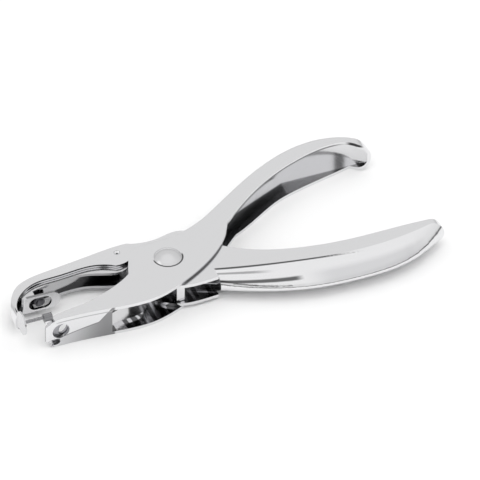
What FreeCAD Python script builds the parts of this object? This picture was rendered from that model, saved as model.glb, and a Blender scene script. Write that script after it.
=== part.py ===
"""Single-hole punch pliers: frame lever, pusher lever, sprung stripper, punch, die and edge gauge.

Millimetres.  +X runs from the nose to the handles, +Y towards the frame handle, +Z up.
The pivot axis is the Z axis and the tool lies on the plane Z = 0.
"""
import FreeCAD, Part
import math
import os

# overall stack of sheets, measured upwards from the rest plane
FRAME_WIDTH = 10.0
FRAME_SHEET = 1.0
SHEET_GAP = 0.1
PUSHER_SHEET = 1.0
STRIPPER_SHEET = 0.8
MID_PLANE = FRAME_WIDTH / 2
PUSHER_LOW = FRAME_SHEET + SHEET_GAP
PUSHER_HIGH = FRAME_WIDTH - PUSHER_LOW
STRIPPER_LOW = PUSHER_LOW + PUSHER_SHEET + SHEET_GAP
STRIPPER_HIGH = FRAME_WIDTH - STRIPPER_LOW
FOLD_RADIUS = 1.0
FRAME_TIP_X = 73.2
PUSHER_NOSE_X = -49.5
PUSHER_TIP_X = 80.5

# pivot
RIVET_RADIUS = 2.5
RIVET_HEAD_RADIUS = 4.1
RIVET_HEAD_HEIGHT = 1.7
RUNNING_FIT = 0.05
BUSH_WALL = 0.5

# punch, stripper and die
CLOSE_DEG = 18.6
SWING_DEG = 2.0
PUNCH_X = -39.5
PUNCH_RADIUS = 1.55
PUNCH_TIP_Y = 0.1
PUNCH_SHOULDER_RADIUS = 2.2
TONGUE_UNDERSIDE_Y = -0.3
TONGUE_TIP_X = -33.2
SLOT_LENGTH = 7.0
SLOT_WIDTH = 4.2
HINGE_PIN_X = -12.6
HINGE_PIN_Y = 8.2
HINGE_PIN_RADIUS = 0.95
DIE_CLEARANCE = 0.08
EXIT_HOLE_RADIUS = 2.5
EXIT_HOLE_SHIFT = -1.8

# edge gauge on the jaw
GAUGE_Y = -12.9
GAUGE_Z = FRAME_WIDTH + 0.75
GAUGE_STEM_RADIUS = 0.5
COLLAR_X = (-43.4, -40.8)
COLLAR_RADIUS = 1.1
DISC_X = -50.0
DISC_RADIUS = 3.5
DISC_THICKNESS = 0.5

# return spring
SPRING_WIRE = 0.9
SPRING_COIL_RADIUS = 3.75
SPRING_TURNS = 4
SPRING_PITCH = 0.86


def vec(x, y, z=0.0):
    return FreeCAD.Vector(x, y, z)


def curve(points):
    """A smooth edge through the points, or a straight one when there are two."""
    if len(points) == 2:
        return Part.makeLine(vec(*points[0]), vec(*points[1]))
    spline = Part.BSplineCurve()
    spline.interpolate([vec(x, y) for x, y in points])
    return spline.toShape()


def outline(*runs):
    """A closed flat face; each run is a smooth curve and runs meet at corners."""
    edges = [curve(run) for run in runs]
    return Part.Face(Part.Wire(Part.__sortEdges__(edges)))


def slab(face, low, high):
    """The face thickened from one height to another."""
    lifted = face.copy()
    lifted.translate(vec(0, 0, low))
    return lifted.extrude(vec(0, 0, high - low))


def polygon(points, low, high):
    wire = Part.makePolygon([vec(x, y) for x, y in points + points[:1]])
    return slab(Part.Face(wire), low, high)


def post(x, y, radius, low, high):
    return Part.makeCylinder(radius, high - low, vec(x, y, low))


def soften(solid, radius, along):
    """Round the long edges that lie on the chosen side of a slab."""
    chosen = [edge for edge in solid.Edges if along(edge)]
    return solid.makeFillet(radius, chosen)


def flat_edges(heights, test):
    """Edge test: the edge lies in one of the heights and its middle passes the test."""
    def along(edge):
        box = edge.BoundBox
        middle = edge.valueAt((edge.FirstParameter + edge.LastParameter) / 2)
        flat = box.ZLength < 0.01 and min(abs(box.ZMin - h) for h in heights) < 0.01
        return flat and test(middle, box)
    return along


# ---- frame lever -------------------------------------------------------------------------

THROAT_EDGE = [(-42.8, -13.1), (-38.4, -11.9), (-27.6, -9.9), (-20.7, -7.3), (-16.0, -4.9), (-13.3, -3.0)]
THROAT_BACK = [(-13.3, -3.0), (-12.4, -0.4), (-10.6, 3.8), (-8.4, 7.4)]
BODY_TOP = [(-8.4, 7.4), (-4.0, 8.3), (2.0, 8.4), (7.0, 9.2), (12.0, 11.0), (17.3, 13.9)]
HANDLE_BACK = [(17.3, 13.9), (28.0, 21.2), (40.0, 28.4), (49.4, 32.2), (57.5, 33.5),
               (64.5, 32.6), (69.8, 30.0), (73.2, 25.6)]
HANDLE_LIP = [(73.2, 25.6), (70.4, 26.0), (67.6, 28.2), (62.0, 29.4), (51.6, 27.3), (41.5, 23.0),
              (30.0, 15.4), (21.6, 8.0)]
FAR_LIP = [(26.0, 11.9), (35.2, 17.2), (43.1, 21.7), (50.3, 24.1), (57.1, 25.8), (64.0, 27.4), (68.2, 28.6)]
BODY_BOTTOM = [(21.6, 8.0), (15.9, -0.8), (8.0, -7.4), (-0.5, -12.2), (-10.8, -15.6), (-17.0, -15.8), (-24.0, -15.2)]
JAW_BACK = [(-24.0, -15.2), (-32.0, -14.6), (-38.4, -14.5), (-42.2, -14.7)]
JAW_NOSE = [(-42.2, -14.7), (-43.2, -13.9), (-42.8, -13.1)]


def frame_silhouette():
    return outline(THROAT_EDGE, THROAT_BACK, BODY_TOP, HANDLE_BACK, HANDLE_LIP, BODY_BOTTOM, JAW_BACK, JAW_NOSE)


def far_cheek_lip():
    """The cheek on the rest side of the frame handle reaches a little lower than the near one."""
    above = [(68.2, 28.6), (62.0, 30.6), (51.6, 29.0), (41.5, 24.6), (30.0, 16.8), (25.0, 12.6)]
    return slab(outline(FAR_LIP, above, [(25.0, 12.6), (26.0, 11.9)]), 0, FRAME_SHEET)


def frame_hollow():
    """Everything between the two cheeks except the handle spine and the jaw wall."""
    inside_back = [(15.0, 11.6), (28.6, 20.1), (40.5, 27.3), (49.7, 31.1), (57.5, 32.4),
                   (64.1, 31.5), (69.1, 29.0), (71.9, 25.6)]
    handle = outline(inside_back, [(71.9, 25.6), (76.0, 5.0)], [(76.0, 5.0), (15.0, -5.0)],
                     [(15.0, -5.0), (15.0, 11.6)])
    body = Part.Face(Part.makePolygon([vec(x, y) for x, y in
                     [(-23.5, -20), (25, -20), (25, 4), (15.5, 16), (-20, 16), (-23.5, -20)]]))
    jaw = Part.Face(Part.makePolygon([vec(x, y) for x, y in
                    [(-23.0, -14.1), (-43.6, -13.55), (-50, -8), (-20, 4), (-23.0, -14.1)]]))
    low = FRAME_SHEET
    high = FRAME_WIDTH - FRAME_SHEET
    inside = slab(handle, low, high).fuse([slab(body, low, high), slab(jaw, low, high)])
    return inside.common(stadium(-60.0, FRAME_TIP_X - FRAME_SHEET, low, high))


def stadium(start, end, low, high):
    """A block along X whose two ends are rounded to its full depth when seen along Y."""
    half = (high - low) / 2
    middle = (low + high) / 2
    core = Part.makeBox(end - start - 2 * half, 120, 2 * half, vec(start + half, -60, low))
    ends = [Part.makeCylinder(half, 120, vec(x, -60, middle), vec(0, 1, 0)) for x in (start + half, end - half)]
    return core.fuse(ends)


def frame_lever():
    body = slab(frame_silhouette(), 0, FRAME_WIDTH)
    spine = flat_edges((0.0, FRAME_WIDTH), lambda p, box: p.x > 35 and p.y > 27 and box.XLength > 30)
    body = soften(body, FOLD_RADIUS, spine)
    body = body.cut(frame_hollow())
    body = body.common(stadium(-43.9, FRAME_TIP_X, 0, FRAME_WIDTH))
    exit_hole = tilted_hole(EXIT_HOLE_RADIUS, 0.5)
    exit_hole.translate(vec(EXIT_HOLE_SHIFT, 0, 0.5))
    body = body.cut([post(0, 0, RIVET_RADIUS, -1, FRAME_WIDTH + 1), exit_hole] + locating_slot())
    tab = polygon([(-43.2, -14.0), (-41.0, -14.0), (-41.0, -12.1), (-43.2, -12.1)],
                  FRAME_WIDTH - FRAME_SHEET, FRAME_WIDTH)
    return body.fuse([tab, far_cheek_lip()]).removeSplitter()


# ---- die ---------------------------------------------------------------------------------

def turned(x, y, degrees):
    """A flat point turned about the pivot."""
    a = math.radians(degrees)
    return x * math.cos(a) - y * math.sin(a), x * math.sin(a) + y * math.cos(a)


def punch_line():
    """Where the punch tip arrives when the handles are closed, and its direction there."""
    x, y = turned(PUNCH_X, PUNCH_TIP_Y, CLOSE_DEG)
    dx, dy = turned(0, -1, CLOSE_DEG)
    return x, y, dx, dy


def locating_slot():
    """Short slot in the jaw wall beside the far fold, where the wall is pinned in the press."""
    front, rear = (-41.8, -39.9)
    ends = [Part.makeCylinder(1.1, 3, vec(x, -16.5, 1.9), vec(0, 1, 0)) for x in (front, rear)]
    return ends + [Part.makeBox(rear - front, 3, 2.2, vec(front, -16.5, 0.8))]


def tilted_hole(radius, start):
    """A bore on the line of the closed punch, from a distance past its tip."""
    x, y, dx, dy = punch_line()
    return Part.makeCylinder(radius, 8, vec(x + start * dx, y + start * dy, MID_PLANE), vec(dx, dy, 0))


def die_block():
    """Wedge under the throat: flat below on the jaw wall, sloped above to meet the stripper."""
    low = FRAME_SHEET + 0.02
    high = FRAME_WIDTH - FRAME_SHEET - 0.02
    slope = math.tan(math.radians(CLOSE_DEG - SWING_DEG))
    front, rear = -41.0, -33.0
    drop = 12.4
    block = polygon([(front, -13.5), (rear, -13.7), (rear, slope * (rear + 38.0) - drop),
                     (front, slope * (front + 38.0) - drop)], low, high)
    nose = Part.makeCylinder(high - MID_PLANE, 12, vec(-44.2 + high - MID_PLANE, -18, MID_PLANE), vec(0, 1, 0))
    rear_part = Part.makeBox(12, 12, 10, vec(-39.6, -18, 0))
    block = block.common(nose.fuse(rear_part))
    cutting = tilted_hole(PUNCH_RADIUS + DIE_CLEARANCE, -3.0)
    relief = tilted_hole(PUNCH_RADIUS + 0.45, 0.5)
    return block.cut([cutting, relief])


def jaw_stiffener():
    """Folded strip inside the jaw behind the die, seen through the open underside."""
    plate = outline([(-23.2, -13.6), (-19.0, -12.6), (-14.6, -12.2), (-9.6, -8.6)],
                    [(-9.6, -8.6), (-11.4, -6.6)],
                    [(-11.4, -6.6), (-17.0, -7.4), (-23.2, -10.2)],
                    [(-23.2, -10.2), (-23.2, -13.6)])
    return slab(plate, FRAME_SHEET, FRAME_SHEET + 0.9)


# ---- pusher lever ------------------------------------------------------------------------

NOSE_BACK = [(-49.3, -6.2), (-49.3, -2.4), (-47.6, 1.6), (-44.5, 4.9), (-41.0, 6.6), (-35.8, 7.7),
             (-27.1, 8.9), (-18.4, 10.2), (-12.7, 10.9), (-8.6, 11.0)]
PUSHER_TOP = [(-8.6, 11.0), (-3.0, 9.6), (1.0, 9.9), (6.8, 10.9), (10.5, 9.2), (13.0, 4.6), (16.0, 0.8)]
PUSHER_LIP = [(16.0, 0.8), (19.6, -1.8), (26.8, -5.6), (38.8, -9.0), (52.3, -10.5), (66.3, -10.5), (78.6, -10.8)]
PUSHER_TIP = [(78.6, -10.8), (80.4, -11.8), (81.0, -13.6)]
PUSHER_END = [(81.0, -13.6), (81.0, -27.0)]
PUSHER_UNDER = [(81.0, -27.0), (11.0, -27.0)]
PUSHER_STEP = [(11.0, -27.0), (11.0, -12.3)]
PUSHER_BOTTOM = [(11.0, -12.3), (4.8, -12.7), (-1.0, -12.0), (-6.4, -8.2), (-8.4, -2.0), (-6.6, 4.6), (-6.9, 8.3)]
NOSE_NOTCH = [(-6.9, 8.3), (-8.9, 5.0), (-11.2, 3.5), (-14.8, 3.0)]
NOSE_LIP = [(-14.8, 3.0), (-22.0, 5.6), (-31.6, 5.0), (-39.9, 4.2), (-44.9, 1.2), (-47.1, -1.4), (-48.0, -5.6)]
NOSE_FOOT = [(-48.0, -5.6), (-49.3, -6.2)]


def pusher_silhouette():
    """Side view of the pusher; below the handle it runs on, and the trough trims it there."""
    return outline(NOSE_BACK, PUSHER_TOP, PUSHER_LIP, PUSHER_TIP, PUSHER_END, PUSHER_UNDER, PUSHER_STEP,
                   PUSHER_BOTTOM, NOSE_NOTCH, NOSE_LIP, NOSE_FOOT)


TROUGH_STEPS = 18
# stations along the handle: X, Y where each cheek turns into the spine, Y of the spine's deepest line
TROUGH = [(10.9, -8.8, -12.6), (22.0, -11.2, -18.0), (37.0, -14.4, -22.5), (50.0, -15.6, -23.5),
          (61.0, -15.4, -22.9), (72.0, -13.8, -19.3), (78.0, -12.4, -15.4), (82.0, -11.6, -12.6)]


def trough(wall):
    """The rounded pusher handle as a solid, drawn in by a wall thickness on every side."""
    half = (PUSHER_HIGH - PUSHER_LOW) / 2 - wall
    line = Part.BSplineCurve()
    line.interpolate(Points=[vec(*station) for station in TROUGH], Parameters=[station[0] for station in TROUGH])
    start, end = TROUGH[0][0], TROUGH[-1][0]
    places = [line.value(start + (end - start) * k / TROUGH_STEPS) for k in range(TROUGH_STEPS + 1)]
    return Part.makeLoft([trough_section(p.x, p.y, p.z + wall, half) for p in places], True, True)


def trough_section(x, crease, deep, half):
    """A rounded bulge below the crease line and straight cheeks running up past the lips."""
    crest = 20.0
    steps = [k / 12 for k in range(13)]
    turns = [math.pi * t for t in steps]
    points = [vec(x, crease + (deep - crease) * math.sin(a) ** 2, MID_PLANE - half * math.cos(a)) for a in turns]
    spline = Part.BSplineCurve()
    spline.interpolate(Points=points, Parameters=steps)
    low_side = Part.makeLine(vec(x, crest, MID_PLANE - half), vec(x, crease, MID_PLANE - half))
    high_side = Part.makeLine(vec(x, crease, MID_PLANE + half), vec(x, crest, MID_PLANE + half))
    lid = Part.makeLine(vec(x, crest, MID_PLANE + half), vec(x, crest, MID_PLANE - half))
    return Part.Wire([low_side, spline.toShape(), high_side, lid])


def pusher_hollow():
    """Everything between the pusher cheeks except the nose cap and the handle spine."""
    under_cap = [(-48.2, -6.4), (-48.2, -2.4), (-46.6, 1.2), (-43.9, 4.0), (-40.6, 5.6), (-35.6, 6.7),
                 (-27.0, 7.9), (-18.2, 9.2), (-13.0, 9.9)]
    nose = outline(under_cap, [(-13.0, 9.9), (-13.0, -12.0)], [(-13.0, -12.0), (-48.2, -12.0)],
                   [(-48.2, -12.0), (-48.2, -6.4)])
    body = Part.Face(Part.makePolygon([vec(x, y) for x, y in
                     [(-13.5, -16), (11.5, -16), (11.5, 14), (-9.8, 14), (-13.5, 9.6), (-13.5, -16)]]))
    low = PUSHER_LOW + PUSHER_SHEET
    high = PUSHER_HIGH - PUSHER_SHEET
    handle = trough(PUSHER_SHEET).common(stadium(-20.0, PUSHER_TIP_X - PUSHER_SHEET, low, high))
    return slab(nose, low, high).fuse([slab(body, low, high), handle])


def pusher_lever():
    body = slab(pusher_silhouette(), PUSHER_LOW, PUSHER_HIGH)
    body = body.common(stadium(PUSHER_NOSE_X, PUSHER_TIP_X, PUSHER_LOW, PUSHER_HIGH))
    front = Part.makeBox(80, 120, FRAME_WIDTH, vec(-69.0, -60, 0))
    body = body.common(front).fuse(body.common(trough(-0.02)))
    body = body.cut(pusher_hollow())
    holes = [post(0, 0, RIVET_RADIUS + RUNNING_FIT, -1, FRAME_WIDTH + 1),
             post(HINGE_PIN_X, HINGE_PIN_Y, HINGE_PIN_RADIUS, -1, FRAME_WIDTH + 1),
             Part.makeCylinder(PUNCH_RADIUS, 6, vec(PUNCH_X, 4.0, MID_PLANE), vec(0, 1, 0))]
    return body.cut(holes).removeSplitter()


# ---- punch and stripper ------------------------------------------------------------------

def punch():
    """Round cutting pin riveted through the nose cap, with a dished end."""
    up = vec(0, 1, 0)
    shank = Part.makeCylinder(PUNCH_RADIUS, 6.6, vec(PUNCH_X, PUNCH_TIP_Y, MID_PLANE), up)
    shoulder = Part.makeCylinder(PUNCH_SHOULDER_RADIUS, 0.5, vec(PUNCH_X, 5.28, MID_PLANE), up)
    dish = Part.makeCone(PUNCH_RADIUS - 0.25, 0.2, 1.1, vec(PUNCH_X, PUNCH_TIP_Y, MID_PLANE), up)
    return shank.fuse(shoulder).cut(dish)


def stripper_silhouette():
    top = [(-45.0, 1.0), (-44.2, 1.9), (-41.7, 3.2), (-35.8, 4.9), (-27.1, 6.3), (-18.4, 8.0), (-12.9, 9.3)]
    heel = [(-12.9, 9.3), (-11.2, 9.0), (-10.6, 7.2), (-10.9, 3.0)]
    lip = [(-10.9, 3.0), (-12.5, 1.6), (-22.6, 3.5), (-31.9, 3.9), (-41.0, 2.2)]
    front = [(-41.0, 2.2), (-41.0, TONGUE_UNDERSIDE_Y)]
    toe = [(-41.0, TONGUE_UNDERSIDE_Y), (-43.8, TONGUE_UNDERSIDE_Y)]
    nose = [(-43.8, TONGUE_UNDERSIDE_Y), (-44.8, 0.1), (-45.0, 1.0)]
    return outline(top, heel, lip, front, toe, nose)


def stripper():
    """Channel hinged inside the nose; its front folds under into the slotted tongue."""
    low, high = STRIPPER_LOW, STRIPPER_HIGH
    body = slab(stripper_silhouette(), low, high)
    under_web = outline([(-44.1, 0.9), (-43.6, 1.4), (-41.4, 2.4), (-35.7, 4.1), (-27.0, 5.5), (-18.2, 7.2),
                         (-13.7, 8.3)],
                        [(-13.7, 8.3), (-9.0, 12.0)], [(-9.0, 12.0), (-9.0, 0.5)], [(-9.0, 0.5), (-44.1, 0.5)],
                        [(-44.1, 0.5), (-44.1, 0.9)])
    body = body.cut(slab(under_web, low + STRIPPER_SHEET, high - STRIPPER_SHEET))
    body = body.fuse(tongue())
    return body.cut(stripper_holes()).removeSplitter()


def tongue():
    half = (STRIPPER_HIGH - STRIPPER_LOW) / 2
    base = vec(-43.5, TONGUE_UNDERSIDE_Y, STRIPPER_LOW)
    strip = Part.makeBox(TONGUE_TIP_X - half + 43.5, STRIPPER_SHEET, 2 * half, base)
    end = Part.makeCylinder(half, STRIPPER_SHEET, vec(TONGUE_TIP_X - half, TONGUE_UNDERSIDE_Y, MID_PLANE),
                            vec(0, 1, 0))
    return strip.fuse(end)


def stripper_holes():
    half = SLOT_LENGTH / 2 - SLOT_WIDTH / 2
    up = vec(0, 1, 0)
    ends = [Part.makeCylinder(SLOT_WIDTH / 2, 4, vec(PUNCH_X + side * half, -2, MID_PLANE), up)
            for side in (-1, 1)]
    middle = Part.makeBox(2 * half, 4, SLOT_WIDTH, vec(PUNCH_X - half, -2, MID_PLANE - SLOT_WIDTH / 2))
    web_hole = Part.makeCylinder(PUNCH_SHOULDER_RADIUS + 0.35, 8, vec(PUNCH_X, 1.5, MID_PLANE), up)
    pin = post(HINGE_PIN_X, HINGE_PIN_Y, HINGE_PIN_RADIUS + RUNNING_FIT, -1, FRAME_WIDTH + 1)
    return ends + [middle, web_hole, pin]


def hinge_pin():
    """Cross rivet through the nose cheeks that carries the stripper."""
    pin = post(HINGE_PIN_X, HINGE_PIN_Y, HINGE_PIN_RADIUS, PUSHER_LOW, PUSHER_HIGH)
    dimple = Part.makeSphere(0.9, vec(HINGE_PIN_X, HINGE_PIN_Y, PUSHER_HIGH + 0.5))
    return pin.cut(dimple)


# ---- pivot and spring --------------------------------------------------------------------

def pivot_rivet():
    """Plain shank, flush on the rest side, with a domed head on top."""
    shank = post(0, 0, RIVET_RADIUS, 0, FRAME_WIDTH + 0.2)
    height, base = RIVET_HEAD_HEIGHT, RIVET_HEAD_RADIUS
    ball = (base * base + height * height) / (2 * height)
    dome = Part.makeSphere(ball, vec(0, 0, FRAME_WIDTH + height - ball))
    cap = dome.common(post(0, 0, base, FRAME_WIDTH, FRAME_WIDTH + height + 1))
    return shank.fuse(cap).removeSplitter()


def pivot_bush():
    """Tube on the rivet between the pusher cheeks; the coil sits around it."""
    low = PUSHER_LOW + PUSHER_SHEET + 0.05
    high = PUSHER_HIGH - PUSHER_SHEET - 0.05
    inner = RIVET_RADIUS + 0.02
    return post(0, 0, inner + BUSH_WALL, low, high).cut(post(0, 0, inner, low - 1, high + 1))


def return_spring():
    """Tightly wound torsion spring round the bush: touching turns, one leg in each handle."""
    low = MID_PLANE - SPRING_PITCH * (SPRING_TURNS - 1) / 2
    high = low + SPRING_PITCH * (SPRING_TURNS - 1)
    lower = leg(vec(-1.54, -3.42, low), vec(14.0, -10.4, low), vec(31.0, -18.1, low))
    upper = leg(vec(-1.77, 3.3, high), vec(22.0, 13.6, high), vec(34.0, 22.4, high))
    return coil(low).fuse(lower).fuse(upper)


def coil(low):
    """The wound part as one turned solid with a rounded ridge for every turn."""
    half = SPRING_PITCH / 2
    dip = math.sqrt((SPRING_WIRE / 2) ** 2 - half ** 2)
    edges = []
    for k in range(SPRING_TURNS):
        z = low + SPRING_PITCH * k
        for side in (-1, 1):
            waist = SPRING_COIL_RADIUS + side * dip
            crest = SPRING_COIL_RADIUS + side * SPRING_WIRE / 2
            edges.append(Part.Arc(vec(waist, 0, z - half), vec(crest, 0, z), vec(waist, 0, z + half)).toShape())
    bottom = low - half
    top = low + SPRING_PITCH * (SPRING_TURNS - 1) + half
    for z in (bottom, top):
        edges.append(Part.makeLine(vec(SPRING_COIL_RADIUS - dip, 0, z), vec(SPRING_COIL_RADIUS + dip, 0, z)))
    profile = Part.Face(Part.Wire(Part.__sortEdges__(edges)))
    return profile.revolve(vec(0, 0, 0), vec(0, 0, 1), 360)


def leg(start, knee, end):
    """Two straight lengths of wire with a ball at the bend."""
    radius = SPRING_WIRE / 2
    runs = [Part.makeCylinder(radius, b.sub(a).Length, a, b.sub(a)) for a, b in ((start, knee), (knee, end))]
    return runs[0].fuse([runs[1], Part.makeSphere(radius * 1.03, knee)])


# ---- edge gauge --------------------------------------------------------------------------

def gauge_collar():
    """Knurled nut fixed on the jaw cheek; the gauge stem slides through it."""
    along = vec(1, 0, 0)
    length = COLLAR_X[1] - COLLAR_X[0]
    start = vec(COLLAR_X[0], GAUGE_Y, GAUGE_Z)
    body = Part.makeCylinder(COLLAR_RADIUS, length, start, along)
    count = 12
    for k in range(count):
        a = 2 * math.pi * k / count
        groove = Part.makeCylinder(0.12, length, vec(COLLAR_X[0], GAUGE_Y + COLLAR_RADIUS * math.cos(a),
                                                     GAUGE_Z + COLLAR_RADIUS * math.sin(a)), along)
        body = body.cut(groove)
    bore = Part.makeCylinder(GAUGE_STEM_RADIUS + 0.04, length, start, along)
    seat = Part.makeBox(10, 10, 10, vec(COLLAR_X[0] - 2, GAUGE_Y - 5, FRAME_WIDTH - 10))
    return body.cut([bore, seat])


def gauge_stem():
    return Part.makeCylinder(GAUGE_STEM_RADIUS, COLLAR_X[1] - DISC_X, vec(DISC_X, GAUGE_Y, GAUGE_Z), vec(1, 0, 0))


def gauge_disc():
    """Thin flared disc pressed on the end of the stem."""
    start = vec(DISC_X - 0.2, GAUGE_Y, GAUGE_Z)
    plate = Part.makeCylinder(DISC_RADIUS, DISC_THICKNESS, start, vec(1, 0, 0))
    boss = Part.makeCone(1.6, 0.7, 0.8, vec(DISC_X + 0.3, GAUGE_Y, GAUGE_Z), vec(1, 0, 0))
    bore = Part.makeCylinder(GAUGE_STEM_RADIUS, 3, vec(DISC_X, GAUGE_Y, GAUGE_Z), vec(1, 0, 0))
    return plate.fuse(boss).cut(bore)


NODES = {
    "frame_lever": frame_lever,
    "die_block": die_block,
    "jaw_stiffener": jaw_stiffener,
    "pivot_rivet": pivot_rivet,
    "pivot_bush": pivot_bush,
    "return_spring": return_spring,
    "pusher_lever": pusher_lever,
    "hinge_pin": hinge_pin,
    "punch": punch,
    "stripper": stripper,
    "gauge_collar": gauge_collar,
    "gauge_stem": gauge_stem,
    "gauge_disc": gauge_disc,
}

os.makedirs("parts", exist_ok=True)
for node, build in NODES.items():
    shape = build()
    box = shape.BoundBox
    print(f"{node:14} solids {len(shape.Solids)} valid {shape.isValid()} "
          f"x {box.XMin:7.2f}..{box.XMax:6.2f} y {box.YMin:6.2f}..{box.YMax:6.2f} z {box.ZMin:5.2f}..{box.ZMax:5.2f}")
    shape.exportStep(f"parts/{node}.step")
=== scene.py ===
# %% [markdown]
# # Hole punch pliers, finished over a CAD frame
# The packed CAD model is loaded as a fixed frame, in metres. Its pieces stay where they are; this
# file gives them plated, ground and drawn-wire finishes, and adds the light, the floor and the camera.

# %% Load the frame
import bpy
import bmesh
import math
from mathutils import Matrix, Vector


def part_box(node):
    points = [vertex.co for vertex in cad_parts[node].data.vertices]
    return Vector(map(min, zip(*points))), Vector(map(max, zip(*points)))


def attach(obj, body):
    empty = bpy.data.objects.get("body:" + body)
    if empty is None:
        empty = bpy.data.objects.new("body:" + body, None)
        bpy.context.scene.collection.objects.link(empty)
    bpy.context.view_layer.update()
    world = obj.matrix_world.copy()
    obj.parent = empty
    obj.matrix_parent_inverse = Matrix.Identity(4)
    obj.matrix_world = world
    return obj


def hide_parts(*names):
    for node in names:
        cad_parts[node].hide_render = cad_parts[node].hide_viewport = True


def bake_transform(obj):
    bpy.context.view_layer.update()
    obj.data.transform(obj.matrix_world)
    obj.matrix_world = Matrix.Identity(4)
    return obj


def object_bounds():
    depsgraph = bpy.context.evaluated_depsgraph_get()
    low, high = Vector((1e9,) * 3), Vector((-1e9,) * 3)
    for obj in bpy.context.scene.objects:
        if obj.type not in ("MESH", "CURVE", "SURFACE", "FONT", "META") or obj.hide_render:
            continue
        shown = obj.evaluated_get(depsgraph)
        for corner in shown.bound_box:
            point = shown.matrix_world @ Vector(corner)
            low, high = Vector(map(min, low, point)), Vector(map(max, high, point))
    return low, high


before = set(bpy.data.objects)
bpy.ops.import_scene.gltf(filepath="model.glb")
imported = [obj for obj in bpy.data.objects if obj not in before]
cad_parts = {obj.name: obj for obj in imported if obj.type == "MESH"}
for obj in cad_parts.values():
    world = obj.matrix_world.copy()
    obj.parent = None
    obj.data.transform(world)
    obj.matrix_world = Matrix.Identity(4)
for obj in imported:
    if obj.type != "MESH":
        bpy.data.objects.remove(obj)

cad_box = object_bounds()
print("nodes:", sorted(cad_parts))
print("cad box:", cad_box)

# %% [markdown]
# ## Bright plate
# The levers are mild steel, polished and nickel plated. A plain mirror looks like a computer's
# metal, so three things are laid over it: a faint cloudy change of roughness where hands have
# dulled the plate, a very shallow ripple left by the polishing wheel, and sparse fine scratches.
# They could be painted as images; here they are noise, so they stay sharp at any distance.

# %% Helpers for node materials
def add(nodes, kind, **settings):
    """A shader node with its settings and sockets filled in by name."""
    node = nodes.new(kind)
    for key, value in settings.items():
        if hasattr(node, key):
            setattr(node, key, value)
        else:
            node.inputs[key.replace("_", " ")].default_value = value
    return node


def blank(name):
    """A new material with only its shader and output."""
    material = bpy.data.materials.new(name)
    material.use_nodes = True
    return material, material.node_tree.nodes, material.node_tree.links


print("node helpers:", add.__name__, blank.__name__)

# %% [markdown]
# ## How the metal is made
# One noise changes the roughness and a second one drives a bump node, so the reflections wobble as
# they do on pressed sheet. The bump could be real displacement, but the ripple is a hundredth of a
# millimetre, too shallow to be worth any faces. Scratches are a third noise, stretched along the
# wheel's direction, and only the plated sheets have them.

# %% Metal with a soft ripple
MM = 0.001
RIPPLE_DEPTH = 0.01 * MM
SCRATCH_DEPTH = 0.02 * MM


def metal(name, colour, roughness, spread, cloud, ripple, scratch=0.0, stretch=(1, 1, 1)):
    """A metal with a soft change of roughness, a shallow ripple and optional fine scratches.

    spread is how far the roughness strays; cloud and ripple are noise scales.
    """
    material, nodes, links = blank(name)
    shader = nodes["Principled BSDF"]
    shader.inputs["Base Color"].default_value = (*colour, 1)
    shader.inputs["Metallic"].default_value = 1.0
    place = add(nodes, "ShaderNodeTexCoord")
    size = add(nodes, "ShaderNodeMapping")
    size.inputs["Scale"].default_value = stretch
    links.new(place.outputs["Object"], size.inputs["Vector"])
    patches = add(nodes, "ShaderNodeTexNoise", Scale=cloud, Detail=4.0, Roughness=0.6)
    dull = add(nodes, "ShaderNodeMapRange")
    dull.inputs["To Min"].default_value = max(0.02, roughness - spread)
    dull.inputs["To Max"].default_value = roughness + spread
    waves = add(nodes, "ShaderNodeTexNoise", Scale=ripple, Detail=3.0)
    relief = add(nodes, "ShaderNodeBump", Strength=1.0, Distance=RIPPLE_DEPTH)
    links.new(size.outputs["Vector"], patches.inputs["Vector"])
    links.new(patches.outputs["Fac"], dull.inputs["Value"])
    links.new(dull.outputs["Result"], shader.inputs["Roughness"])
    links.new(size.outputs["Vector"], waves.inputs["Vector"])
    links.new(waves.outputs["Fac"], relief.inputs["Height"])
    links.new(relief.outputs["Normal"], shader.inputs["Normal"])
    if scratch:
        lines = add(nodes, "ShaderNodeTexNoise", Scale=900.0, Detail=2.0)
        thin = add(nodes, "ShaderNodeMapping")
        thin.inputs["Scale"].default_value = (0.05, 1.4, 1.4)
        thin.inputs["Rotation"].default_value = (0, 0, 0.5)
        links.new(place.outputs["Object"], thin.inputs["Vector"])
        links.new(thin.outputs["Vector"], lines.inputs["Vector"])
        cut = add(nodes, "ShaderNodeBump", Strength=scratch, Distance=SCRATCH_DEPTH)
        links.new(lines.outputs["Fac"], cut.inputs["Height"])
        links.new(relief.outputs["Normal"], cut.inputs["Normal"])
        links.new(cut.outputs["Normal"], shader.inputs["Normal"])
    return material


def plated(name, grey=0.80, roughness=0.15):
    """The nickel plate that all the folded sheets share."""
    return metal(name, (grey, grey, grey + 0.01), roughness, 0.04, 90, 260, scratch=0.12)


print("metal recipes:", metal.__name__, plated.__name__)

# %% [markdown]
# ## The plain finishes
# Each small part came from another bin: the rivet is tumbled and slightly dull, the die is ground
# along its length, the spring is drawn wire, the punch is hardened and nearly black, and the gauge
# is cheap plated turning. They share one recipe and differ in colour, roughness and grain. A
# separate node group for each would look the same and be harder to compare.

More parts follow.
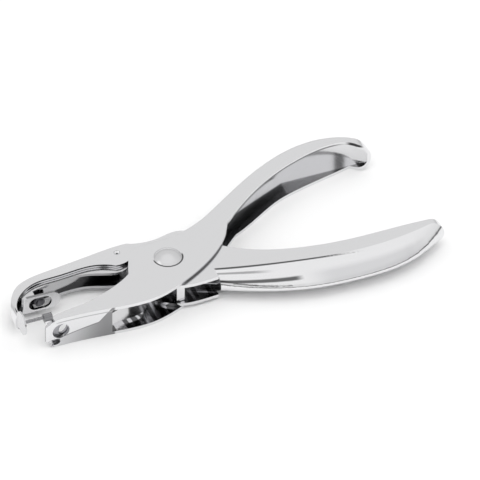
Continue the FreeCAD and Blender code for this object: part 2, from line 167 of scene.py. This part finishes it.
# %% Finishes of the small parts
rivet_finish = metal("rivet_finish", (0.70, 0.70, 0.71), 0.20, 0.05, 260, 700)
ground_steel = metal("ground_steel", (0.36, 0.36, 0.38), 0.30, 0.08, 500, 1500, stretch=(1, 0.1, 1))
spring_wire = metal("spring_wire", (0.48, 0.48, 0.50), 0.24, 0.06, 600, 1800)
gauge_plate = metal("gauge_plate", (0.66, 0.66, 0.67), 0.22, 0.05, 300, 900)
gauge_rod = metal("gauge_rod", (0.30, 0.30, 0.31), 0.28, 0.05, 300, 900)
punch_steel = metal("punch_steel", (0.13, 0.13, 0.14), 0.34, 0.08, 500, 1500)
bright_plate = plated("bright_plate")
print("finishes:", [finish.name for finish in (rivet_finish, ground_steel, spring_wire, gauge_plate,
                                              gauge_rod, punch_steel, bright_plate)])

# %% [markdown]
# ## Painted shade and reflections in the folds
# Faces that look inwards into a folded channel are painted dark, as shade, with bands of painted
# reflection over them. Other painted lines of shade and shadow sit where a cheek turns into the
# spine, on a slanted lap where two flaps of the jaw meet, and along the cut edge round the nose.
# They could be separate strips, but they have no thickness, so they are masks worked out from each
# point's place and facing, in millimetres, and they are mixed into the plate's colour.

# %% Masks from place and facing
CHANNEL_MIDDLE = 5.0


class Marks:
    """Sums on a point's place in millimetres (x, y, z) and its facing (nx, ny, nz).

    Every result is a socket: 1 where the mark shows and 0 where it doesn't.
    """

    def __init__(self, material):
        self.nodes, self.links = material.node_tree.nodes, material.node_tree.links
        place = self.nodes.new("ShaderNodeTexCoord")
        grow = add(self.nodes, "ShaderNodeVectorMath", operation="SCALE")
        grow.inputs["Scale"].default_value = 1 / MM
        self.links.new(place.outputs["Object"], grow.inputs[0])
        spot = self.nodes.new("ShaderNodeSeparateXYZ")
        face = self.nodes.new("ShaderNodeSeparateXYZ")
        self.links.new(grow.outputs["Vector"], spot.inputs["Vector"])
        self.links.new(place.outputs["Normal"], face.inputs["Vector"])
        self.x, self.y, self.z = spot.outputs
        self.nx, self.ny, self.nz = face.outputs
        self.point = grow.outputs["Vector"]

    def calc(self, operation, *terms):
        """One arithmetic step; each term is a number or an earlier result."""
        node = add(self.nodes, "ShaderNodeMath", operation=operation)
        for socket, term in zip(node.inputs, terms):
            if isinstance(term, (int, float)):
                socket.default_value = term
            else:
                self.links.new(term, socket)
        return node.outputs["Value"]

    def over(self, value, low, high):
        """A smooth step from 0 at the first limit to 1 at the second, whichever is the larger."""
        node = add(self.nodes, "ShaderNodeMapRange", interpolation_type="SMOOTHSTEP")
        node.inputs["From Min"].default_value = min(low, high)
        node.inputs["From Max"].default_value = max(low, high)
        node.inputs["To Min"].default_value = 0.0 if low < high else 1.0
        node.inputs["To Max"].default_value = 1.0 if low < high else 0.0
        self.links.new(value, node.inputs["Value"])
        return node.outputs["Result"]

    def all(self, *masks):
        """Where every mask holds."""
        result = masks[0]
        for mask in masks[1:]:
            result = self.calc("MULTIPLY", result, mask)
        return result

    def line(self, value, half):
        """A soft line where a value passes zero."""
        return self.over(self.calc("ABSOLUTE", value), half * 1.3, half * 0.5)

    def inward(self):
        """Faces that look towards the middle plane of the channel."""
        from_middle = self.calc("SUBTRACT", self.z, CHANNEL_MIDDLE)
        return self.over(self.calc("MULTIPLY", from_middle, self.nz), -1.0, -2.2)

    def streak(self, scale):
        """Bands that change only along the tool, like reflections inside a channel."""
        stretch = self.nodes.new("ShaderNodeMapping")
        stretch.inputs["Scale"].default_value = (1.0, 0.16, 0.02)
        noise = add(self.nodes, "ShaderNodeTexNoise", Scale=scale, Detail=0.0, Distortion=0.5)
        self.links.new(self.point, stretch.inputs["Vector"])
        self.links.new(stretch.outputs["Vector"], noise.inputs["Vector"])
        return noise.outputs["Fac"]

    def speckle(self, scale):
        """Small spots in every direction."""
        noise = add(self.nodes, "ShaderNodeTexNoise", Scale=scale, Detail=3.0)
        self.links.new(self.point, noise.inputs["Vector"])
        return noise.outputs["Fac"]


print("mask tools:", [name for name in vars(Marks) if not name.startswith("_")])

# %% [markdown]
# ## Laying the marks over the plate
# The marks are stacked like coats of paint: the first grey covers the plate's colour where its mask
# is 1, and the next covers both. One mix node per coat keeps the order readable. A single colour
# ramp would be smaller, but it can't hold marks that cross each other.

# %% Coats of grey
def shade(material, layers):
    """Mix each (mask, grey) over the plate's colour, in order."""
    nodes, links = material.node_tree.nodes, material.node_tree.links
    shader = nodes["Principled BSDF"]
    value = None
    for mask, grey in layers:
        mix = add(nodes, "ShaderNodeMix", data_type="RGBA")
        below, above = [socket for socket in mix.inputs if socket.type == "RGBA"]
        if value is None:
            below.default_value = shader.inputs["Base Color"].default_value
        else:
            links.new(value, below)
        above.default_value = (grey, grey, grey * 1.02, 1)
        links.new(mask, mix.inputs["Factor"])
        value = [socket for socket in mix.outputs if socket.type == "RGBA"][0]
    links.new(value, shader.inputs["Base Color"])


print("coat mixer:", shade.__name__)

# %% [markdown]
# ## Frame lever plate
# The frame is the outer folded sheet. Its channel is painted dark inside as shade, with painted
# reflection streaks under the body, and its round handle end gets a painted reflection where it
# catches the light; its cut edges get thin painted shadows where the other lever slides past, and the
# jaw wall's lap of two flaps is painted in shade, not modelled. Each of these could be its own material
# on its own faces, but the marks cross the fold lines, so they are masks. m is this plate's set of marks.

# %% Frame lever plate
frame_plate = plated("frame_plate")
m = Marks(frame_plate)
# the inside of the channel is painted shade: dark at the handle, with painted reflection streaks in the
# body and a bright painted reflection at the round end
inside = m.inward()
fold_line = m.calc("MINIMUM", m.calc("MULTIPLY_ADD", m.x, 0.45, 7.6), 28.4)
round_fold_reflection = m.all(inside, m.over(m.x, 24.0, 27.0), m.over(m.calc("SUBTRACT", m.y, fold_line), -0.5, 0.3))
deep_inner_shade = m.all(inside, m.over(m.x, 46.6, 45.6))
body_inner_shade = m.all(inside, m.over(m.x, 24.0, 20.0))
reflection_streaks = m.all(body_inner_shade, m.over(m.streak(0.42), 0.50, 0.56))
# painted shade on the cut edges of the near cheek: in the throat, at the shoulder and along the handle's
# lip, darkest where painted shadow stands for the gap
edge_on = m.over(m.calc("ABSOLUTE", m.nz), 0.5, 0.3)
throat_edge_shade = m.all(edge_on, m.over(m.nx, -0.3, -0.6), m.over(m.x, -15.0, -14.0), m.over(m.y, -3.0, -1.0),
                    m.over(m.z, 8.8, 9.0))
shoulder_edge_shade = m.all(edge_on, m.over(m.calc("SUBTRACT", m.nx, m.ny), 0.6, 0.9), m.over(m.z, 8.8, 9.0),
                      m.over(m.x, -2.0, 2.0), m.over(m.x, 24.0, 21.0))
shoulder_gap_shadow = m.all(shoulder_edge_shade, m.over(m.z, 9.6, 9.45))
lip_gap_shadow = m.all(edge_on, m.over(m.ny, -0.2, -0.4), m.over(m.z, 8.8, 9.0), m.over(m.z, 9.55, 9.4),
                m.over(m.x, 23.0, 25.0), m.over(m.x, 68.0, 62.0))
# painted shade along the turn of the sheet into the jaw wall and round the nose
wall_crease_shade = m.all(m.over(m.ny, -0.3, -0.6), m.line(m.calc("SUBTRACT", m.z, 8.75), 0.18),
                    m.over(m.x, -40.5, -39.0), m.over(m.x, -8.0, -14.0))
nose_turn_shade = m.all(m.over(m.nx, -0.80, -0.97), m.over(m.x, -40.0, -41.0))
# a ring of painted contact shadow round the rivet's head, on its lower side
from_rivet = m.calc("SQRT", m.calc("MULTIPLY_ADD", m.x, m.x, m.calc("MULTIPLY", m.y, m.y)))
rivet_shadow = m.all(m.over(m.z, 9.8, 9.9), m.line(m.calc("SUBTRACT", from_rivet, 4.25), 0.34),
                  m.over(m.y, 0.5, -0.8))
# the two flaps of the jaw wall are painted, not modelled: the lower one dark as painted shade, with a
# painted shadow line along its slanting edge
lap_line = m.calc("MAXIMUM", m.calc("MULTIPLY_ADD", m.x, 0.221, 2.9 + 0.221 * 39.2),
                 m.calc("MULTIPLY_ADD", m.x, 1.08, 5.6 + 1.08 * 27.0))
below = m.calc("SUBTRACT", m.z, lap_line)
jaw_wall = m.all(m.over(m.ny, -0.5, -0.7), m.over(m.x, -22.0, -22.6), m.over(m.x, -40.0, -38.6))
lapped_shade = m.all(jaw_wall, m.over(below, 0.05, -0.05))
lapped_deep_shade = m.all(lapped_shade, m.over(m.x, -40.0, -24.0))
lap_edge_shadow = m.all(jaw_wall, m.line(below, 0.16))
# coats: painted shade inside and on edges, painted reflections, painted shadow lines, the painted lap
shade(frame_plate, [(inside, 0.30), (deep_inner_shade, 0.09), (body_inner_shade, 0.14), (reflection_streaks, 0.78),
                    (round_fold_reflection, 0.80), (lapped_shade, 0.66), (lapped_deep_shade, 0.28), (lap_edge_shadow, 0.22),
                    (throat_edge_shade, 0.05), (shoulder_edge_shade, 0.62), (shoulder_gap_shadow, 0.12), (lip_gap_shadow, 0.22),
                    (rivet_shadow, 0.10), (wall_crease_shade, 0.45), (nose_turn_shade, 0.30)])
print("frame plate nodes:", len(frame_plate.node_tree.nodes))

# %% [markdown]
# ## Pusher lever plate
# The pusher's handle is pressed into a bulged trough. Its near cheek gets one long curved line of
# painted shade where it bends into the bulge, its spine two dark lines of painted reflection on ridges and
# a soft band of painted reflection where they fade out, and its nose cap a thin painted shadow in the gap
# against the frame. The bulge itself is in the CAD; the crease and ridges are too fine to model well as
# geometry, so they are lines: a curve in x and y, and heights in z.

# %% Pusher lever plate
pusher_plate = plated("pusher_plate")
m = Marks(pusher_plate)
# painted shade on the faces inside the channel
inside = m.inward()
# the crease is a line of painted shade; it follows a parabola on the near cheek and fades out unevenly
# towards the handle's end
curve_y = m.calc("MULTIPLY_ADD", m.calc("MULTIPLY", m.x, m.x), 0.0020, -5.6)
curve_y = m.calc("MULTIPLY_ADD", m.x, -0.31, curve_y)
off_crease = m.calc("SUBTRACT", m.y, curve_y)
handle_only = m.over(m.x, 10.8, 11.4)
fading = m.over(m.calc("MULTIPLY_ADD", m.speckle(2.4), 22.0, m.x), 66.0, 50.0)
crease_shade = m.all(m.line(off_crease, 0.34), m.over(m.z, 8.2, 8.5), handle_only, fading)
# two ridges along the spine, drawn as dark lines of painted reflection, and the soft band of painted
# reflection after them
ridge_z = m.calc("MULTIPLY_ADD", m.x, 0.02, 6.45)
ridge_reflection = m.all(m.line(m.calc("SUBTRACT", m.z, ridge_z), 0.30), m.over(m.ny, -0.1, -0.3), handle_only,
              m.over(m.x, 35.0, 32.0), m.over(m.y, -9.0, -10.0))
second_ridge_reflection = m.all(m.line(m.calc("SUBTRACT", m.z, 8.15), 0.16), m.over(m.ny, -0.1, -0.3), handle_only,
                     m.over(m.x, 28.0, 20.0), m.over(m.y, -9.0, -10.0))
# the cut edge of the nose cap, with a painted shadow in the gap beside it and painted shade on its front
inner_edge = m.calc("SUBTRACT", m.nx, m.ny)
nose_edge = m.all(m.over(inner_edge, 0.2, 0.4), m.over(m.calc("ABSOLUTE", m.nz), 0.5, 0.3),
                  m.over(m.z, 7.7, 7.9), m.over(m.x, -7.2, -7.6))
nose_gap_shadow = m.all(nose_edge, m.over(m.z, 8.35, 8.5))
nose_front_shade = m.all(nose_edge, m.over(m.x, -42.5, -44.5))
# painted reflection streaks inside the channel near the pivot
reflection_streaks = m.all(inside, m.over(m.streak(0.42), 0.52, 0.58), m.over(m.x, 16.0, 10.0))
# the soft band of painted reflection along the spine, after the ridges
soft_reflection_band = m.all(m.line(m.calc("SUBTRACT", m.z, 6.7), 1.1), m.over(m.ny, -0.1, -0.3),
                  m.over(m.x, 34.0, 44.0), m.over(m.x, 76.0, 66.0), m.over(m.y, -9.0, -10.0))
# coats: painted shade inside, painted reflections, and painted shade and shadow lines
shade(pusher_plate, [(inside, 0.16), (reflection_streaks, 0.72), (soft_reflection_band, 0.66), (second_ridge_reflection, 0.40), (ridge_reflection, 0.14),
                     (crease_shade, 0.10), (nose_edge, 0.80), (nose_gap_shadow, 0.05), (nose_front_shade, 0.04)])
print("pusher plate nodes:", len(pusher_plate.node_tree.nodes))

# %% [markdown]
# ## Stripper plate
# The stripper is the small folded plate that pushes the paper off the punch. It is a little greyer
# than the levers, and painted darker inside as shade, darkest high inside, where hardly any light comes
# in. The underside of its web is painted greyer too, as shade, and its tongue has a thin shaded rim.
# With the levers' own finish it would melt into the jaw, so it has marks of its own.

# %% Stripper plate
stripper_plate = plated("stripper_plate", 0.72, 0.17)
m = Marks(stripper_plate)
# painted shade: inward faces, the slit high inside, the web's underside and a thin rim on the tongue
inside = m.inward()
under_web_shade = m.all(m.over(m.ny, -0.4, -0.7), m.over(m.y, 0.6, 1.0))
slit_shade = m.all(inside, m.over(m.y, 3.0, 3.4))
tongue_rim = m.all(m.over(m.calc("ABSOLUTE", m.ny), 0.5, 0.3), m.over(m.y, 0.7, 0.55),
                   m.over(m.x, -44.0, -43.4))
shade(stripper_plate, [(inside, 0.62), (slit_shade, 0.05), (under_web_shade, 0.52), (tongue_rim, 0.30)])
print("stripper plate nodes:", len(stripper_plate.node_tree.nodes))

# %% [markdown]
# ## Dimple of the hinge pin
# The pin is peened over with a centre punch, which leaves a small pit. It is
# already a hollow in the CAD piece; its floor is painted dark as shade, a ring round it is left bright
# as a painted highlight, and the pin beyond the ring is greyer.

# %% Hinge pin finish
pin_steel = metal("pin_steel", (0.84, 0.84, 0.85), 0.20, 0.05, 260, 700)
m = Marks(pin_steel)
pin_low, pin_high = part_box("hinge_pin")
aside = m.calc("SUBTRACT", m.x, (pin_low[0] + pin_high[0]) / 2 / MM)
along = m.calc("SUBTRACT", m.y, (pin_low[1] + pin_high[1]) / 2 / MM)
from_pin = m.calc("SQRT", m.calc("MULTIPLY_ADD", aside, aside, m.calc("MULTIPLY", along, along)))
# painted shade in the pit, a painted highlight ring round it, and a greyer pin beyond
shade(pin_steel, [(m.over(from_pin, 0.42, 0.25), 0.10), (m.over(from_pin, 0.78, 0.90), 0.45)])
print("pin steel nodes:", len(pin_steel.node_tree.nodes))

# %% [markdown]
# ## Which piece gets which finish
# The CAD pieces carry their own shapes. Each one has a single material slot, which is
# filled with the finish it has on the real tool.

# %% Dress the CAD pieces
FINISH = {
    "frame_lever": frame_plate,
    "pusher_lever": pusher_plate,
    "stripper": stripper_plate,
    "jaw_stiffener": bright_plate,
    "gauge_disc": gauge_plate,
    "pivot_rivet": rivet_finish,
    "pivot_bush": rivet_finish,
    "hinge_pin": pin_steel,
    "gauge_stem": gauge_rod,
    "gauge_collar": gauge_rod,
    "die_block": ground_steel,
    "punch": punch_steel,
}


def dress(node, finish):
    """Fill every material slot of a CAD piece with one finish."""
    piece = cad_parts[node]
    for slot in piece.material_slots:
        slot.material = finish


for node, finish in FINISH.items():
    dress(node, finish)
print("dressed:", len(FINISH), "pieces")

# %% [markdown]
# ## Return spring
# A torsion spring opens the pliers: wire wound round the bush, with one leg pressing on each
# handle's spine. It could be a screw modifier on a circle, but the legs have to leave the coil
# along its own tangent, so the whole wire follows one list of points.

# %% Wire along a list of points
def coil_points(radius, start, sweep, top, bottom, steps):
    """Points of a helix from a start angle through a sweep, in degrees, going down from top to bottom."""
    points = []
    for k in range(steps + 1):
        share = k / steps
        angle = math.radians(start + sweep * share)
        points.append((radius * math.cos(angle), radius * math.sin(angle), top + (bottom - top) * share))
    return points


def between(a, b, count):
    """Even points from a up to, but not including, b."""
    return [tuple(p + (q - p) * k / count for p, q in zip(a, b)) for k in range(count)]


def wire_mesh(name, points, radius):
    """A round wire along points given in millimetres, as a plain mesh."""
    data = bpy.data.curves.new(name, "CURVE")
    data.dimensions = "3D"
    data.bevel_depth = radius * MM
    data.bevel_resolution = 5
    data.use_fill_caps = True
    spline = data.splines.new("POLY")
    spline.points.add(len(points) - 1)
    for point, place in zip(spline.points, points):
        point.co = (*(c * MM for c in place), 1)
    rough = bpy.data.objects.new(name + "_line", data)
    bpy.context.collection.objects.link(rough)
    mesh = bpy.data.meshes.new_from_object(rough.evaluated_get(bpy.context.evaluated_depsgraph_get()))
    bpy.data.objects.remove(rough)
    mesh.name = name
    for polygon in mesh.polygons:
        polygon.use_smooth = True
    wire = bpy.data.objects.new(name, mesh)
    bpy.context.collection.objects.link(wire)
    return wire


print("wire helpers:", coil_points.__name__, between.__name__, wire_mesh.__name__)

# %% [markdown] ## Winding the spring The coil is a little over three turns, centred on the bush,
# and each leg leaves it at a tangent.

# %% Return spring
COIL_RADIUS, COIL_HALF_HEIGHT = 3.75, 1.29
COIL_START, COIL_SWEEP, COIL_STEPS = 118.2, 127.6 + 3 * 360, 150
WIRE_RADIUS = 0.37
UPPER_END, UPPER_KNEE = (34.0, 22.4), (22.0, 13.6)
LOWER_KNEE, LOWER_END = (14.0, -10.4), (31.0, -18.1)
bush_low, bush_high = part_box("pivot_bush")
hub = [(a + b) / 2 / MM for a, b in zip(bush_low, bush_high)]


def return_spring():
    """The wire from the frame handle, round the bush and out to the pusher handle."""
    top, bottom = hub[2] + COIL_HALF_HEIGHT, hub[2] - COIL_HALF_HEIGHT
    upper_end, upper_knee = (*UPPER_END, top), (*UPPER_KNEE, top)
    lower_knee, lower_end = (*LOWER_KNEE, bottom), (*LOWER_END, bottom)
    coil = coil_points(COIL_RADIUS, COIL_START, COIL_SWEEP, top, bottom, COIL_STEPS)
    upper = between(upper_end, upper_knee, 8) + between(upper_knee, coil[0], 12)
    lower = between(coil[-1], lower_knee, 10)[1:] + between(lower_knee, lower_end, 10)
    wire = wire_mesh("return_spring_wire", upper + coil + lower + [lower_end], WIRE_RADIUS)
    wire.data.materials.append(spring_wire)
    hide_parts("return_spring")
    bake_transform(wire)
    return wire


spring = return_spring()
print("return spring:", [round(v / MM, 1) for v in spring.dimensions], "mm")

# %% [markdown]
# ## Stop tab
# A short tab folded across the pusher's channel below the pivot keeps the two cheeks apart and
# shows bright in the gap under the body. It is a thin plate with rounded corners, drawn as an
# outline and given thickness, which is quicker than rounding the corners of a cube.

# %% Stop tab
def rounded_plate(name, centre, wide, tall, thick, corner):
    """A plate facing -Y with rounded corners; sizes in millimetres."""
    outline = []
    for turn, (sx, sz) in enumerate([(1, 1), (-1, 1), (-1, -1), (1, -1)]):
        for k in range(7):
            angle = math.radians(90 * turn + 15 * k)
            outline.append((centre[0] + sx * (wide / 2 - corner) + corner * math.cos(angle),
                            centre[2] + sz * (tall / 2 - corner) + corner * math.sin(angle)))
    shape = bmesh.new()
    front = [shape.verts.new((x * MM, (centre[1] - thick / 2) * MM, z * MM)) for x, z in outline]
    back = [shape.verts.new((x * MM, (centre[1] + thick / 2) * MM, z * MM)) for x, z in outline]
    shape.faces.new(front)
    shape.faces.new(back[::-1])
    for k in range(len(outline)):
        n = (k + 1) % len(outline)
        shape.faces.new([front[n], front[k], back[k], back[n]])
    bmesh.ops.recalc_face_normals(shape, faces=shape.faces[:])
    mesh = bpy.data.meshes.new(name)
    shape.to_mesh(mesh)
    plate = bpy.data.objects.new(name, mesh)
    bpy.context.collection.objects.link(plate)
    return plate


TAB_WIDE, TAB_TALL, TAB_THICK, TAB_CORNER = 2.5, 5.4, 0.6, 0.5
tab_centre = (hub[0] - 0.3, hub[1] - 10.9, hub[2])
stop_tab = rounded_plate("stop_tab", tab_centre, TAB_WIDE, TAB_TALL, TAB_THICK, TAB_CORNER)
soft_corner = stop_tab.modifiers.new("soft_corner", "BEVEL")
soft_corner.width = 0.12 * MM
soft_corner.segments = 2
stop_tab.data.materials.append(bright_plate)
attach(stop_tab, "pusher")
print("stop tab:", [round(v / MM, 1) for v in stop_tab.dimensions], "mm")

# %% [markdown] ## Floor The tool lies on plain white paper. A plane is enough, set a fiftieth of
# a millimetre below the tool so that the two surfaces never coincide.

# %% Floor
def floor_sheet(half=1.5):
    """A white square of paper, twice half a side, just under the tool."""
    mesh = bpy.data.meshes.new("floor")
    drop = -0.02 * MM
    corners = [(-half, -half, drop), (half, -half, drop), (half, half, drop), (-half, half, drop)]
    mesh.from_pydata(corners, [], [(0, 1, 2, 3)])
    sheet = bpy.data.objects.new("floor", mesh)
    bpy.context.collection.objects.link(sheet)
    material, nodes, links = blank("floor_paper")
    nodes["Principled BSDF"].inputs["Base Color"].default_value = (0.93, 0.93, 0.93, 1)
    nodes["Principled BSDF"].inputs["Roughness"].default_value = 0.9
    nodes["Principled BSDF"].inputs["Specular IOR Level"].default_value = 0.1
    mesh.materials.append(material)
    return sheet


paper = floor_sheet()
print("floor:", [round(v, 2) for v in paper.dimensions], "m")

# %% [markdown]
# ## Surroundings
# Polished metal shows its surroundings more than itself, so the world is drawn as a tent that the
# tool can reflect. It is white above, with a grey band low behind the tool and a much darker band
# low before it: those bands become the dark streaks on the folded spines. One small dark disc
# stands for whoever looks at the tool, so that a surface turned straight to the viewer reflects
# something darker than the tent. An image of a real studio would do the same, but a few ramps can
# be tuned one streak at a time.

# %% Surroundings
def height_ramp(nodes, links, height, levels):
    """Brightness that changes with height only: pairs of sine of elevation and brightness."""
    ramp = nodes.new("ShaderNodeValToRGB")
    while len(ramp.color_ramp.elements) < len(levels):
        ramp.color_ramp.elements.new(0.5)
    for element, (level, value) in zip(ramp.color_ramp.elements, levels):
        element.position = (level + 1) / 2
        element.color = (value / 2, value / 2, value / 2, 1)
    links.new(height, ramp.inputs["Fac"])
    return ramp.outputs["Color"]


def tent(behind, before, operator):
    """World light: one ramp behind the tool, one before it, and the dark shape of the operator."""
    world = bpy.data.worlds.new("tent")
    bpy.context.scene.world = world
    world.use_nodes = True
    nodes, links = world.node_tree.nodes, world.node_tree.links
    place = nodes.new("ShaderNodeTexCoord")
    split = nodes.new("ShaderNodeSeparateXYZ")
    links.new(place.outputs["Generated"], split.inputs["Vector"])
    height = add(nodes, "ShaderNodeMapRange")
    height.inputs["From Min"].default_value = -1.0
    links.new(split.outputs["Z"], height.inputs["Value"])
    side = add(nodes, "ShaderNodeMapRange", interpolation_type="SMOOTHSTEP")
    side.inputs["From Min"].default_value = -0.25
    side.inputs["From Max"].default_value = 0.25
    links.new(split.outputs["Y"], side.inputs["Value"])
    both = add(nodes, "ShaderNodeMixRGB")
    links.new(side.outputs["Result"], both.inputs["Fac"])
    links.new(height_ramp(nodes, links, height.outputs["Result"], before), both.inputs["Color1"])
    links.new(height_ramp(nodes, links, height.outputs["Result"], behind), both.inputs["Color2"])
    towards = add(nodes, "ShaderNodeVectorMath", operation="DOT_PRODUCT")
    towards.inputs[1].default_value = operator
    links.new(place.outputs["Generated"], towards.inputs[0])
    shape = add(nodes, "ShaderNodeMapRange", interpolation_type="SMOOTHSTEP")
    shape.inputs["From Min"].default_value = 0.985
    shape.inputs["From Max"].default_value = 0.994
    links.new(towards.outputs["Value"], shape.inputs["Value"])
    darker = add(nodes, "ShaderNodeMixRGB")
    darker.inputs["Color2"].default_value = (0.05, 0.05, 0.05, 1)
    links.new(shape.outputs["Result"], darker.inputs["Fac"])
    links.new(both.outputs["Color"], darker.inputs["Color1"])
    links.new(darker.outputs["Color"], nodes["Background"].inputs["Color"])
    nodes["Background"].inputs["Strength"].default_value = 2.0


BELOW = [(-1.0, 0.9), (0.0, 0.9)]
ZENITH = [(0.90, 1.0), (1.0, 1.0)]
GREY_BAND = [(0.05, 0.62), (0.20, 0.66), (0.32, 0.82), (0.74, 0.84)]
DARK_BAND = [(0.05, 0.16), (0.20, 0.14), (0.32, 0.84), (0.74, 0.92)]
OPERATOR = (-0.275, -0.706, 0.652)
tent(BELOW + GREY_BAND + ZENITH, BELOW + DARK_BAND + ZENITH, OPERATOR)
print("surroundings:", bpy.context.scene.world.name)

# %% [markdown]
# ## Soft boxes
# The tent alone gives no shadow. A large lamp overhead draws the soft contact shadow on the paper,
# and it is hidden from reflections so that it doesn't burn a white square into the plate. A weaker
# lamp at the jaw's end lifts the nose. Sun lamps would give hard edges that a tent never has.

# %% Soft boxes
def soft_box(name, place, aim, size, power):
    """A rectangular area lamp that faces the point it is aimed at."""
    data = bpy.data.lights.new(name, "AREA")
    data.shape = "RECTANGLE"
    data.size, data.size_y = size
    data.energy = power
    lamp = bpy.data.objects.new(name, data)
    bpy.context.collection.objects.link(lamp)
    lamp.location = place
    lamp.rotation_euler = (Vector(aim) - Vector(place)).to_track_quat("-Z", "Y").to_euler()
    return lamp


middle = (cad_box[0][0] + cad_box[1][0]) / 2
over_light = soft_box("over_light", (middle, -0.35, 0.9), (middle, 0, 0), (0.9, 0.9), 3.4)
over_light.visible_glossy = False
jaw_light = soft_box("jaw_light", (middle - 0.8, 0.1, 0.45), (middle, 0, 0), (0.5, 0.6), 0.4)
print("lamps:", over_light.name, jaw_light.name)

# %% [markdown]
# ## Camera
# The tool is seen from the pusher's side and above. The lens is very long and far away, so parallel
# edges stay parallel, much as an orthographic camera would show them. The distance follows from
# the wanted span across the frame, and the aim is a little off the middle of the tool.

# %% Camera
AZIMUTH, ELEVATION = math.radians(21.3), math.radians(40.7)
SPAN_PER_LENGTH = 1.061
LENS = 1600.0
AIM_OFFSET = Vector((6.95, -5.7, 2.9)) * MM
look = Vector((math.sin(AZIMUTH) * math.cos(ELEVATION), math.cos(AZIMUTH) * math.cos(ELEVATION),
               -math.sin(ELEVATION)))
low, high = Vector(cad_box[0]), Vector(cad_box[1])
span = SPAN_PER_LENGTH * (high.x - low.x)
centre = (low + high) / 2 + AIM_OFFSET
eye = bpy.data.cameras.new("eye")
eye.lens = LENS
eye.clip_start = 0.01
camera = bpy.data.objects.new("camera", eye)
bpy.context.collection.objects.link(camera)
camera.location = centre - look * (span * LENS / eye.sensor_width)
camera.rotation_euler = look.to_track_quat("-Z", "Y").to_euler()
bpy.context.scene.camera = camera
bpy.context.scene.view_settings.view_transform = "Standard"
print("camera at", [round(v, 3) for v in camera.location])

# %% [markdown]
# Everything added has to stay inside the size that was agreed for the tool.
